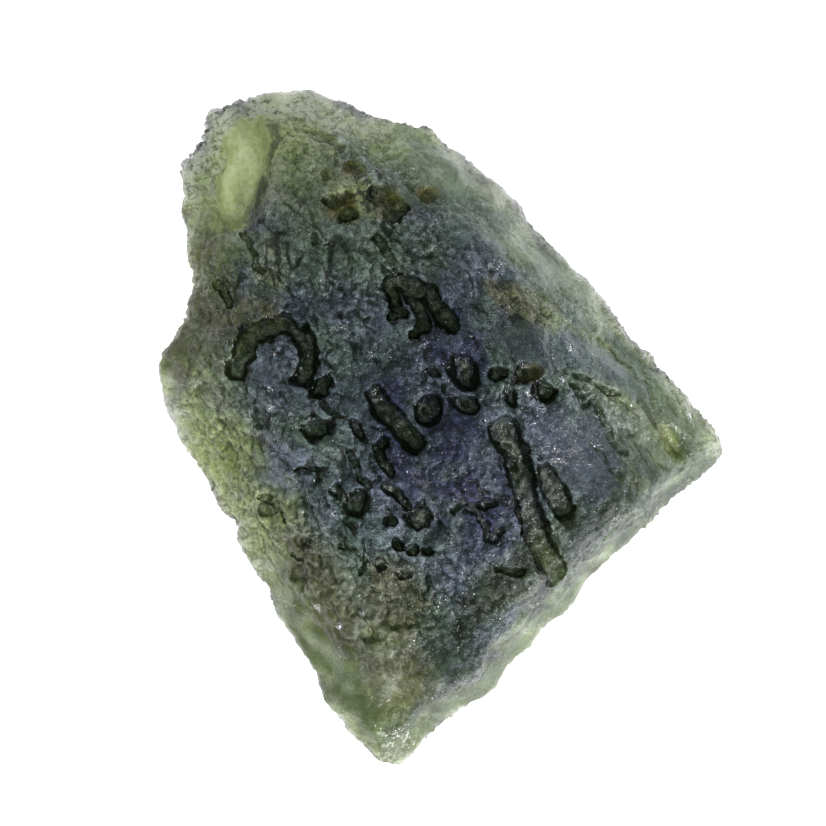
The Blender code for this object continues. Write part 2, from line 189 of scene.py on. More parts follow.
# Etched grooves of the domed face: width, depth added to the solid's, and the middle line.
GROOVES = {
    "hook": (0.86, 0.34, [
        (-8.45, 2.25), (-8.35, 2.7), (-8.2, 3.1), (-8.0, 3.7), (-7.6, 3.9), (-7.0, 4.1),
        (-6.4, 4.2), (-5.9, 3.9), (-5.5, 3.5), (-5.4, 3.0), (-5.5, 2.5), (-5.7, 2.0)]),
    "middle": (0.90, 0.34, [(-2.7, 1.2), (-2.4, 0.8), (-2.0, 0.3), (-1.6, -0.2), (-1.2, -0.6)]),
    "long": (1.14, 0.38, [
        (2.6, -0.1), (2.8, -0.6), (3.1, -1.2), (3.3, -1.9), (3.4, -2.5), (3.5, -3.2),
        (3.7, -3.8), (3.9, -4.4), (4.2, -5.1), (4.5, -5.7), (5.6, -8.2)]),
    "long_side": (0.98, 0.32, [(4.4, -2.0), (4.6, -2.5), (4.9, -3.0), (5.0, -3.4)]),
    "nest_left": (0.70, 0.32, [
        (-2.0, 5.2), (-2.1, 5.8), (-1.7, 6.1), (-1.2, 5.9), (-0.9, 5.6)]),
    "nest_right": (0.78, 0.36, [(-0.5, 5.4), (-0.2, 5.0), (0.1, 4.5), (0.5, 4.2)]),
    "nest_middle": (0.52, 0.34, [(-1.2, 5.3), (-0.9, 4.8), (-0.7, 4.3), (-1.1, 3.8)]),
    "nest_lobe": (0.52, 0.30, [(-2.0, 5.0), (-1.7, 4.7), (-2.0, 4.5)]),
    "low_left": (0.38, 0.26, [(-2.4, -2.5), (-1.9, -2.7), (-1.4, -3.3)]),
    "low_right": (0.30, 0.20, [(0.5, -3.5), (0.9, -3.1), (1.4, -3.2), (1.7, -3.9), (1.9, -4.5)]),
    "near_hook": (0.28, 0.20, [(-4.9, 1.0), (-4.6, 0.6), (-4.2, 0.3)]),
    "middle_foot": (0.38, 0.24, [(-2.7, -0.9), (-2.4, -1.5), (-2.2, -2.0)]),
    "left_crack": (0.30, 0.22, [(-3.8, -1.0), (-3.5, -1.5), (-3.3, -2.1), (-3.1, -2.6)]),
    "upper_chain": (0.36, 0.18, [(-2.7, 7.8), (-2.3, 7.1), (-1.8, 6.7), (-1.4, 6.4)]),
    "low_cross": (0.36, 0.22, [(2.4, -5.9), (3.3, -6.0)]),
    "low_line": (0.22, 0.16, [(-2.0, -8.3), (-1.0, -8.2)]),
    "right_line_1": (0.30, 0.14, [(6.2, 1.1), (6.7, 0.1), (7.1, -0.6), (7.5, -1.1)]),
    "right_line_2": (0.30, 0.16, [(5.7, 2.1), (6.2, 1.8), (6.8, 1.6), (7.3, 1.3)]),
    "right_line_3": (0.30, 0.16, [(5.5, 1.8), (5.8, 1.4), (6.0, 0.9)]),
    "crescent_1": (0.26, 0.18, [(-7.4, -2.9), (-6.9, -3.1), (-6.6, -3.6), (-6.6, -3.9)]),
    "crescent_2": (0.26, 0.18, [(-6.2, -5.4), (-5.7, -5.6), (-5.5, -6.1), (-5.7, -6.6)]),
    "lump_edge_1": (0.30, 0.20, [(-4.2, -4.9), (-3.6, -5.0), (-3.2, -5.5), (-3.3, -6.1)]),
    "lump_edge_2": (0.28, 0.20, [(-4.4, -2.4), (-4.0, -3.0), (-4.0, -3.9), (-3.6, -4.3)]),
    "lump_edge_3": (0.24, 0.16, [(-6.0, -1.8), (-5.4, -1.5), (-4.9, -1.8), (-5.1, -2.3)]),
    "scoop_edge": (0.26, 0.20, [(-8.2, 8.0), (-7.9, 7.3), (-7.7, 6.7), (-7.4, 6.4)]),
    "shoulder_pit": (0.34, 0.22, [(-9.2, 5.9), (-9.0, 5.4), (-8.8, 5.0)]),
    "top_strip": (0.34, 0.14, [(-5.9, 12.5), (-5.0, 12.0), (-4.2, 11.5)]),
    "right_line_4": (0.24, 0.12, [(7.0, 3.2), (8.0, 2.2), (8.7, 1.3)]),
    "right_line_5": (0.24, 0.12, [(6.3, -0.6), (6.9, -1.6), (7.4, -2.2)]),
}

# Which way the fracture faces in plan, and how far out its upper edge lies. The hollows end there.
FRACTURE_WAY = (0.62, -0.78)
FRACTURE_EDGE = (7.8, 8.1)

# Etched pits: middle x and y, length, width, turn in degrees and added depth.
PITS = [
    (-5.0, 1.6, 1.20, 0.74, 41, 0.30),
    (-7.4, 0.4, 1.10, 0.85, 100, 0.14),
    (-5.1, -0.1, 1.30, 1.15, 20, 0.30),
    (-3.4, -0.1, 1.10, 0.58, -63, 0.24),
    (-8.4, 2.3, 0.85, 0.65, 80, 0.16),
    (-2.4, -0.7, 0.75, 0.62, 0, 0.26),
    (-0.5, 0.7, 1.25, 1.22, 0, 0.30),
    (0.9, 2.3, 1.80, 1.10, -60, 0.30),
    (1.0, 1.0, 1.40, 0.68, -20, 0.22),
    (-0.3, 2.3, 0.80, 0.45, -25, 0.18),
    (-1.1, 5.6, 1.20, 0.62, -10, 0.24),
    (-3.6, 3.5, 0.85, 0.80, 0, 0.10),
    (2.3, 2.2, 0.85, 0.60, 0, 0.20),
    (3.5, 2.2, 1.25, 0.90, 10, 0.28),
    (4.3, 1.5, 1.05, 0.90, 0, 0.26),
    (2.9, 1.2, 0.95, 0.55, -60, 0.20),
    (1.9, -3.1, 1.00, 0.55, -15, 0.20),
    (2.3, -4.4, 0.90, 0.60, 60, 0.18),
    (-3.5, -3.2, 1.25, 1.10, 70, 0.28),
    (-0.9, -3.8, 1.25, 1.10, 60, 0.26),
    (-2.1, -3.9, 0.62, 0.50, 20, 0.24),
    (-1.8, -4.9, 0.66, 0.50, -50, 0.28),
    (-1.2, -5.1, 0.60, 0.46, 30, 0.28),
    (-0.6, -5.2, 0.56, 0.42, -20, 0.24),
    (-2.5, -5.6, 0.70, 0.48, -60, 0.20),
    (-1.5, -6.1, 0.62, 0.46, 10, 0.18),
    (1.3, -3.3, 1.00, 0.60, 20, 0.16),
    (-7.2, -3.4, 0.95, 0.65, -40, 0.16),
    (-5.8, -4.7, 0.85, 0.60, -30, 0.16),
    (-5.9, -6.1, 0.85, 0.65, 30, 0.16),
    (-2.9, -8.5, 1.15, 0.85, -60, 0.13),
    (-4.7, 10.4, 0.65, 0.55, 0, 0.20),
    (-3.6, 10.6, 0.95, 0.75, -30, 0.22),
    (-4.6, 9.2, 0.80, 0.68, 0, 0.28),
    (-4.0, 9.4, 0.80, 0.80, 0, 0.22),
    (-3.9, 8.7, 1.00, 0.80, 20, 0.32),
    (-2.5, 9.6, 1.05, 0.80, 0, 0.24),
    (-1.9, 9.0, 1.25, 1.10, 70, 0.32),
    (-0.5, 9.6, 0.80, 0.70, 0, 0.20),
    (9.5, -0.6, 1.60, 0.85, -65, 0.11),
    (7.7, -0.1, 0.80, 0.66, -30, 0.10),
    (-2.4, -1.1, 0.50, 0.40, 0, 0.20),
    (0.1, 1.6, 0.60, 0.30, 90, 0.18),
    (-4.0, 4.6, 0.50, 0.30, 0, 0.14),
    (-5.2, 7.8, 0.50, 0.50, 0, 0.16),
]

# Fine cracks: width, depth and line.
CRACKS = [
    (0.16, 0.12, [(-3.3, -2.2), (-3.3, -3.6), (-3.2, -4.9), (-3.3, -5.9)]),
    (0.14, 0.10, [(-5.6, -1.6), (-4.9, -2.3), (-4.6, -3.3), (-4.0, -4.2), (-3.9, -5.4)]),
    (0.14, 0.10, [(5.4, 1.3), (6.4, 0.2), (7.2, -1.2), (7.9, -2.0)]),
    (0.14, 0.10, [(6.2, 1.9), (7.6, 0.9), (8.5, -0.2)]),
    (0.14, 0.09, [(-2.9, 4.9), (-3.0, 6.3), (-2.4, 7.6)]),
    (0.12, 0.08, [(-2.9, 1.7), (-2.2, 2.5), (-1.4, 2.8)]),
    (0.14, 0.10, [(0.6, -5.9), (1.3, -6.6), (2.4, -6.5)]),
    (0.12, 0.08, [(-9.3, -1.6), (-8.2, -3.4), (-7.4, -5.2), (-6.3, -6.9)]),
]

# The skin's base colours by the glass's thickness: pale where it is thin, as painted backlight shining
# through, and a dull, darker bloom where it is deep.
RIM_OLIVE = (0.58, 0.67, 0.36)
RIM_PALE = (0.86, 0.91, 0.76)
BACKLIT_RIM_WHITE = (0.97, 0.99, 0.95)
BLOOM_GREEN = (0.22, 0.30, 0.25)
BLOOM_SLATE = (0.24, 0.28, 0.38)
DEEP_FROM = (1.8, 4.6)
DEEP_WANDER = 1.6
PALE_STRENGTH = 0.7
PALE_STRETCHES = [
    (-8.1, -2.3, 8.4, 3.6, -58), (-6.0, 10.6, 5.8, 4.4, -70), (-6.9, 11.8, 5.0, 2.4, 10),
    (-4.0, -7.8, 9.0, 4.4, -58)]

# Tones laid over them in turn: colour, strength, and ovals as middle x and y, length, width, turn in degrees.
TONES = {
    "olive": ((0.66, 0.74, 0.28), 0.85, [
        (-8.2, -2.3, 8.0, 3.4, -58), (3.9, 4.9, 3.6, 1.3, -35), (-3.9, 9.4, 3.4, 2.2, -20),
        (-6.9, 11.8, 5.0, 2.4, 10)]),
    "upper_left": ((0.62, 0.70, 0.40), 0.85, [(-5.8, 10.8, 5.4, 3.4, -70), (-7.2, 6.8, 3.0, 2.0, -60)]),
    "grey_flank": ((0.25, 0.32, 0.28), 0.9, [
        (0.9, 9.6, 9.5, 3.0, -42), (5.0, 6.0, 6.0, 2.6, -46), (7.6, 2.6, 6.0, 1.8, -46)]),
    "pale_rim": ((0.95, 0.98, 0.90), 0.8, [(-5.6, 13.2, 8.0, 1.9, -4), (3.4, 8.9, 17.0, 1.1, -43)]),
    "dull_band": ((0.10, 0.13, 0.06), 0.98, [(-4.9, -8.9, 10.4, 3.4, -59), (-2.7, -12.2, 3.6, 2.8, -50)]),
    "teal": ((0.17, 0.26, 0.22), 0.85, [
        (-3.2, -5.2, 6.5, 2.6, -75), (-0.4, -8.2, 5.5, 3.0, -60), (8.2, 2.0, 5.5, 1.6, -48)]),
    "leather": ((0.30, 0.37, 0.31), 0.9, [(-4.4, 7.4, 7.0, 4.4, -50), (-1.6, 7.4, 5.0, 2.8, -20)]),
    "corner": ((0.16, 0.20, 0.18), 0.98, [(9.9, -1.4, 6.8, 5.0, -50), (7.9, -2.9, 4.6, 2.4, 41)]),
    "yellow": ((0.46, 0.50, 0.21), 0.95, [
        (9.5, -0.6, 1.9, 1.0, -65), (-2.9, -8.5, 1.5, 1.0, -60), (6.6, 3.3, 3.2, 0.7, -38)]),
    "dark_edge": ((0.15, 0.13, 0.11), 0.95, [(-11.0, 3.4, 4.6, 1.6, 95), (-10.5, 9.0, 1.1, 0.9, 0)]),
    "brown": ((0.23, 0.21, 0.12), 0.95, [
        (-9.7, 5.2, 8.0, 2.6, 88), (-5.0, -6.6, 7.0, 2.4, -58), (-1.6, -10.4, 4.6, 3.2, -60),
        (-1.8, -7.2, 4.4, 3.2, -60), (-8.0, 4.4, 3.6, 2.4, 20), (3.2, 5.0, 3.6, 1.4, -36)]),
    "violet": ((0.07, 0.07, 0.18), 0.95, [
        (0.1, -1.4, 12.0, 6.4, -52), (0.6, 3.6, 5.6, 3.2, -60)]),
    "slate": ((0.26, 0.29, 0.42), 0.85, [
        (-6.2, 2.0, 4.4, 3.4, 0), (-6.4, -1.7, 3.4, 2.6, 0), (-3.6, 4.8, 4.0, 3.0, -50)]),
    "smooth_slate": ((0.12, 0.13, 0.19), 0.9, [(5.8, -0.8, 5.6, 3.8, -50), (3.4, 3.4, 4.0, 2.0, -50)]),
    "amber": ((0.27, 0.19, 0.05), 0.95, [
        (-4.1, 9.1, 1.9, 1.6, -20), (-2.2, 9.2, 1.9, 1.6, 20), (-4.7, 10.4, 0.9, 0.7, 0),
        (-3.6, 10.6, 1.1, 0.9, -30), (-0.5, 9.6, 1.0, 0.8, 0), (3.6, 2.2, 1.3, 0.9, 10)]),
    "haze": ((0.32, 0.38, 0.42), 0.85, [
        (6.6, 2.6, 6.6, 1.5, -36), (5.6, 1.2, 1.4, 0.9, -40), (2.6, -5.4, 0.9, 0.7, 60)]),
    "fracture": ((0.07, 0.085, 0.10), 0.98, [
        (8.9, -3.6, 9.5, 1.7, 37), (4.9, -6.8, 7.5, 2.0, 45), (0.8, -10.6, 10.5, 1.9, 41)]),
    "frosted_edge": ((0.13, 0.16, 0.10), 0.95, [
        (9.2, -4.0, 9.5, 1.1, 37), (5.3, -7.3, 7.5, 1.2, 45), (1.2, -11.1, 10.5, 1.1, 41),
        (-2.0, -12.9, 2.2, 1.2, 10)]),
    "dark_green": ((0.020, 0.030, 0.014), 0.95, [(1.9, -7.2, 9.5, 2.4, 47), (5.8, -4.4, 4.6, 1.6, 41)]),
    "chipped_end": ((0.95, 0.97, 0.96), 0.9, [(-10.0, 11.6, 3.4, 1.7, 60), (-8.6, 13.2, 2.4, 0.9, 10)]),
}

# Smooth stretches with little grain: ovals as above.
CALM = [
    (6.6, 2.6, 6.6, 1.5, -36), (-4.9, -9.0, 9.4, 2.0, -59), (2.6, 8.4, 12.0, 4.0, -44),
    (2.6, -5.4, 0.9, 0.7, 60), (5.9, -0.9, 5.4, 3.6, -50), (3.6, 3.2, 3.4, 2.2, -50),
    (4.9, -7.5, 19.0, 1.3, 45), (9.4, -1.3, 6.0, 3.4, -50)]

# Stretches with thin dark streaks, which way they run, and how much longer they are than wide.
STREAKED = [(9.2, -0.9, 6.4, 4.2, -50), (-9.5, 5.4, 5.0, 2.2, 88)]
STREAK_TURN = -52
STREAK_STRETCH = 7

# The lumpy stretch of the long left flank.
LUMPY_FLANK = [(-8.6, -1.8, 10.5, 3.2, -60), (-5.4, -6.4, 7.0, 2.0, -62)]

# Painted glints, white metallic specks: single spots, their size and strength, and the stretches with many.
GLINT_SIZE = 0.17
GLINT_FADE = (0.5, 1.0)
GLINT_STRENGTH = 4.0
GLINTS = [
    (-6.9, 3.0), (-6.1, 2.6), (-5.6, 1.6), (-7.1, 1.5), (-7.0, 0.8), (-6.2, 0.5), (-5.1, 1.0), (1.4, 2.3),
    (3.6, 1.3), (4.1, 0.8), (4.2, 0.7), (5.0, 1.9), (9.9, -0.7), (-0.3, -3.7), (-4.4, -3.6), (-5.1, -7.5),
    (-4.2, -8.3), (-3.3, -7.7), (5.3, 3.2), (8.4, 2.9), (10.3, 0.4)]
GLITTER_STRENGTH = 1.3
GLITTER = [
    (-10.0, 11.6, 3.8, 2.0, 60), (-7.6, 13.2, 4.0, 1.0, 0), (-2.0, -12.9, 2.0, 1.2, 0),
    (2.2, 6.6, 0.8, 0.6, 0)]

# How much of their painted shade the hollows' walls lose over floors, facing the key box and in amber pits.
WALL_FLOOR_LOSS = 0.9
WALL_KEY_LOSS = 0.4
WALL_AMBER_LOSS = 0.75

# The bright chip scar at the thin end, its depth, and the dark ledge along its right side.
SCAR_EDGE = [
    (-7.1, 11.8), (-7.3, 10.7), (-7.5, 9.8), (-7.7, 9.3), (-8.1, 8.3), (-8.5, 8.0),
    (-9.2, 8.7), (-9.4, 10.1), (-8.9, 10.9), (-9.1, 12.0), (-7.4, 13.0)]
SCAR_DEPTH = 0.22
SCAR_SLOPE = (0.0, 0.25)
SCAR_RIM = (-0.03, 0.08)
SCAR_FRAY = 0.8
LEDGE_WIDTH = 0.85
LEDGE_FADE = (0.3, 1.0)
LEDGE_LINE = [(-6.9, 12.4), (-6.9, 11.8), (-7.1, 10.7), (-7.3, 9.8), (-7.5, 9.2), (-7.9, 8.2)]
LEDGE_VIOLET = (0.07, 0.06, 0.10)
LEDGE_STRENGTH = 0.85

# Colours that the glass's nodes lay over the tones.
HOLLOW_DARK = (0.10, 0.11, 0.07, 1)
HOLLOW_PALE = (0.38, 0.38, 0.28, 1)
SHADE_OLIVE = (0.13, 0.15, 0.065, 1)
SHADE_DEEP = (0.014, 0.017, 0.018, 1)
STREAK_GREEN = (0.05, 0.06, 0.035, 1)
SPECK_BROWN = (0.09, 0.08, 0.07, 1)
CHIP_CLEAR = (0.98, 0.99, 0.97, 1)
SCAR_OLIVE = (0.66, 0.75, 0.32, 1)
SCAR_PALE = (0.92, 0.98, 0.62, 1)
WALL_SHADE_BLACK = (0.003, 0.004, 0.002, 1)
GLINT_WHITE = (0.95, 0.96, 1.0, 1)

# The glass: how clear it is, how it bends and reflects light, what it absorbs by, and its bump in metres.
GLASS_CLEAR = 0.62
GLASS_IOR = 1.49
GLASS_SPECULAR = 0.16
GLASS_TINT = (0.33, 0.41, 0.08, 1)
GLASS_DENSITY = 690.0
GLASS_BUMP = 0.00016

# The noises that it reads: scale in turns per millimetre, detail and roughness.
PATCH_CLOUD = (0.9, 1.0, 0.5)
CRACK_CLOUD = (1.9, 2.0, 0.5)
STREAK_CLOUD = (3.4, 2.0, 0.6)
GRAIN_CLOUD = (4.2, 3.0, 0.65)
FINE_CLOUD = (13.0, 1.0, 0.6)

# The floor and the light, in metres. A softbox is its place, size and power.
DOME = (0.76, 0.79, 1.05)
DOME_STRENGTH = 0.19
FLOOR_GLOW = 1.6
FLOOR_SIZE = 3.0
FLOOR_DROP = 0.00002
FLOOR_GREY = (0.85, 0.85, 0.85, 1)
WHITE = (1, 1, 1, 1)
SOFTBOXES = {
    "key_box": ((0.20, -0.27, 0.15), 0.08, 1.25),
    "far_box": ((-0.20, 0.12, 0.20), 0.14, 0.05),
    "small_lamp": ((0.10, -0.04, 0.25), 0.012, 0.05),
}

# The camera in metres, with its sensor in millimetres. The photo's scale holds at the scale height.
CAMERA_HEIGHT = 0.6
SCALE_HEIGHT = 0.004
SENSOR = 36


def smooth_step(low, high, value):
    """0 below low, 1 above high, and an even rise between."""
    part = np.clip((value - low) / (high - low), 0.0, 1.0)
    return part * part * (3.0 - 2.0 * part)


def path_distance(x, y, path):
    """Distance from each point to a line of straight runs."""
    nearest = np.full(x.shape, 1e6)
    for (ax, ay), (bx, by) in zip(path, path[1:]):
        run_x, run_y = bx - ax, by - ay
        along = ((x - ax) * run_x + (y - ay) * run_y) / (run_x * run_x + run_y * run_y)
        along = np.clip(along, 0.0, 1.0)
        nearest = np.minimum(nearest, np.hypot(x - ax - along * run_x, y - ay - along * run_y))
    return nearest


def outline_inset(x, y, outline):
    """Distance from each point to a closed outline: plus inside it and minus outside."""
    closed = outline + outline[:1]
    inside = np.zeros(x.shape, bool)
    for (ax, ay), (bx, by) in zip(closed, closed[1:]):
        if ay != by:
            left = x < ax + (y - ay) * (bx - ax) / (by - ay)
            inside ^= left & ((ay > y) != (by > y))
    away = path_distance(x, y, closed)
    return np.where(inside, away, -away)


def oval_distance(x, y, middle_x, middle_y, length, width, turn):
    """0 at the middle of an oval and 1 on its edge."""
    cos_turn, sin_turn = math.cos(math.radians(turn)), math.sin(math.radians(turn))
    along = (x - middle_x) * cos_turn + (y - middle_y) * sin_turn
    across = (y - middle_y) * cos_turn - (x - middle_x) * sin_turn
    return np.hypot(along / (length / 2), across / (width / 2))


def select_only(piece):
    """Make the piece the one selected and active object."""
    bpy.ops.object.select_all(action="DESELECT")
    piece.select_set(True)
    bpy.context.view_layer.objects.active = piece


def modify(piece, kind, **settings):
    """Add one modifier and apply it."""
    select_only(piece)
    modifier = piece.modifiers.new(kind.lower(), kind)
    for name, value in settings.items():
        setattr(modifier, name, value)
    bpy.ops.object.modifier_apply(modifier=modifier.name)


def copy_of_node(node, name):
    """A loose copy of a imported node's mesh, with its doubled points merged."""
    select_only(frame["nodes"][node])
    bpy.ops.object.duplicate()
    piece = bpy.context.view_layer.objects.active
    bpy.ops.object.parent_clear(type="CLEAR_KEEP_TRANSFORM")
    piece.name = piece.data.name = name
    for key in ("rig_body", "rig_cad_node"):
        del piece[key]
    piece.data.materials.clear()
    bpy.ops.object.mode_set(mode="EDIT")
    bpy.ops.mesh.select_all(action="SELECT")
    bpy.ops.mesh.remove_doubles(threshold=MERGE * MM)
    bpy.ops.object.mode_set(mode="OBJECT")
    return piece


def points_of(mesh):
    """The mesh's points, one row each."""
    flat = np.empty(len(mesh.vertices) * 3)
    mesh.vertices.foreach_get("co", flat)
    return flat.reshape(-1, 3)


def normals_of(mesh):
    """The direction that the surface faces at each point."""
    flat = np.empty(len(mesh.vertices) * 3)
    mesh.vertices.foreach_get("normal", flat)
    return flat.reshape(-1, 3)


def move_points(mesh, points):
    """Put the mesh's points at new places."""
    mesh.vertices.foreach_set("co", points.ravel())
    mesh.update()


def keep_reading(mesh, name, values):
    """Store one number for each point, for the material to read."""
    attribute = mesh.attributes.new(name, "FLOAT", "POINT")
    attribute.data.foreach_set("value", values.astype(np.float32))


def keep_colour(mesh, name, colours):
    """Store one colour for each point, for the material to read."""
    attribute = mesh.attributes.new(name, "FLOAT_COLOR", "POINT")
    whole = np.column_stack([colours, np.ones(len(colours))])
    attribute.data.foreach_set("color", whole.astype(np.float32).ravel())


def rolling(points, size, shift):
    """Smooth noise from about -1 to 1 with bumps of the given size."""
    moved = points / size + shift
    return np.array([noise.noise(point) for point in moved.tolist()])


def patches(points, size, shift, begins, full):
    """1 on patches of the given size and 0 between them."""
    return smooth_step(begins, full, rolling(points, size, shift))


def cells(points, size, shift):
    """Distances to the nearest and second nearest cell middles, in cell sizes."""
    moved = points / size + shift
    found = [noise.voronoi(point)[0] for point in moved.tolist()]
    near = np.array([row[0] for row in found])
    second = np.array([row[1] for row in found])
    return near, second


def waves(points, size, depth, shift):
    """Smooth relief of the given size, up to its depth either way."""
    return depth * rolling(points, size, shift)


def lumps(points, size, depth, shift):
    """Round lumps of the given size with sharp creases between them, up to half their depth either way."""
    near, second = cells(points, size, shift)
    crown = CROWN_SHARE * (1.0 - near / CROWN_REACH)
    return depth * (crown + CREASE_SHARE * smooth_step(0.0, CREASE_REACH, second - near) - LUMP_MIDDLE)


def along_flow(points):
    """The points squeezed along the flow of the glass, so that noise on them is drawn out that way."""
    turn = math.radians(FLOW_TURN)
    cos_turn, sin_turn = math.cos(turn), math.sin(turn)
    along = points[:, 0] * cos_turn + points[:, 1] * sin_turn
    across = points[:, 1] * cos_turn - points[:, 0] * sin_turn
    return np.column_stack([along / FLOW_STRETCH, across, points[:, 2]])


def hollows(x, y, uneven):
    """Depth of the listed grooves and pits, and where their walls and their floors are."""
    depth_here = np.zeros(x.shape)
    wall = np.zeros(x.shape)
    floor = np.zeros(x.shape)
    forms = []
    for width, depth, path in GROOVES.values():
        forms.append((width, depth, path_distance(x, y, path) / (width / 2)))
    for middle_x, middle_y, length, width, turn, depth in PITS:
        forms.append((width, depth, oval_distance(x, y, middle_x, middle_y, length, width, turn)))
    for width, depth, reach in forms:
        strength = min(depth / STRONG_DEPTH, 1.0)
        depth_here = np.maximum(depth_here, depth * (1.0 - smooth_step(*HOLLOW_RIM, reach)))
        floor = np.maximum(floor, strength * (1.0 - smooth_step(*HOLLOW_FLOOR, reach)))
        across = np.abs(reach - WALL_MIDDLE) * max(width, WALL_FULL_WIDTH) / 2 * uneven
        wall = np.maximum(wall, strength * (1.0 - smooth_step(*WALL_REACH, across)))
    return depth_here, wall, floor


def strewn_pits(x, y):
    """Depth of the small seeded pits strewn along the flow, and of the fine cracks."""
    draw = random.Random(STREWN_SEED)
    spread_x, spread_y = STREWN_SPREAD
    sunk = np.zeros(x.shape)
    for _ in range(STREWN_PITS):
        middle = draw.uniform(-spread_x, spread_x), draw.uniform(-spread_y, spread_y)
        length = draw.uniform(*STREWN_LENGTHS)
        width = length * draw.uniform(*STREWN_SHARES)
        turn, depth = draw.uniform(*STREWN_TURNS), draw.uniform(*STREWN_DEPTHS)
        reach = oval_distance(x, y, *middle, length, width, turn)
        sunk = np.maximum(sunk, depth * (1.0 - smooth_step(*PIT_RIM, reach)))
    for width, depth, path in CRACKS:
        reach = path_distance(x, y, path) / (width / 2)
        sunk = np.maximum(sunk, depth * (1.0 - smooth_step(*CRACK_RIM, reach)))
    return sunk


def oval_share(x, y, ovals):
    """1 in the middle of any of the ovals, and 0 outside them."""
    share = np.zeros(x.shape)
    for oval in ovals:
        share = np.maximum(share, 1.0 - smooth_step(*OVAL_RIM, oval_distance(x, y, *oval)))
    return share


def mixed(first, second, share):
    """Rows of colours between two colours or rows of colours."""
    return first + (np.array(second) - first) * share[:, None]


def painted_tones(points, thick, upward, warp):
    """The skin's colour at each point: rims paled by painted backlight where the glass is thin, a slate
    middle and the tones laid over them.
    """
    x, y = points[:, 0] + warp, points[:, 1] - warp
    broad = patches(points, *BROAD_PATCHES)
    small = patches(points, *SMALL_PATCHES)
    deep = smooth_step(*DEEP_FROM, thick + DEEP_WANDER * (broad - 0.5))
    deep = deep * (1.0 - PALE_STRENGTH * oval_share(x, y, PALE_STRETCHES) * upward)
    rim = mixed(np.array(RIM_OLIVE), RIM_PALE, small)
    # Whiter still where the glass is thinnest: painted backlight.
    rim = mixed(rim, BACKLIT_RIM_WHITE, (1.0 - smooth_step(*WHITE_GLASS, thick)) * (0.4 + 0.6 * broad))
    colours = mixed(rim, mixed(np.array(BLOOM_GREEN), BLOOM_SLATE, broad), deep)
    size, shift, begins, full = TONE_PATCHES
    for turn, (colour, strength, ovals) in enumerate(TONES.values()):
        uneven = patches(points, size, shift + TONE_SHIFT * turn, begins, full)
        share = oval_share(x, y, ovals) * strength * (0.5 + 0.5 * uneven) * upward
        colours = mixed(colours, colour, share)
    return colours, deep


def crease(mesh):
    """How far each point lies under (plus) or over (minus) the skin around it, 1 being a deep crease."""
    points, facing = points_of(mesh), normals_of(mesh)
    edges = np.empty(len(mesh.edges) * 2, np.int32)
    mesh.edges.foreach_get("vertices", edges)
    first, second = edges.reshape(-1, 2).T
    count = np.bincount(edges, minlength=len(points)).clip(1)[:, None]
    smoothed = points
    for _ in range(CREASE_TURNS):
        total = np.zeros(points.shape)
        for axis in range(3):
            total[:, axis] = np.bincount(first, smoothed[second, axis], len(points))
            total[:, axis] += np.bincount(second, smoothed[first, axis], len(points))
        smoothed = total / count
    lower = ((smoothed - points) * facing).sum(axis=1)
    return lower / np.percentile(np.abs(lower), CREASE_DEEP)


def thickness_behind(piece, points, facing):
    """How much glass is under each point, or over it on the underside."""
    tree = BVHTree.FromObject(piece, bpy.context.evaluated_depsgraph_get())
    depths = []
    for (x, y, z), facing_z in zip(points.tolist(), facing[:, 2]):
        way = 1.0 if facing_z < 0.0 else -1.0
        hit = tree.ray_cast(Vector((x, y, z + MEASURE_FROM * way)), Vector((0, 0, way)))
        depths.append(0.0 if hit[0] is None else abs(z - hit[0].z))
    return np.array(depths)


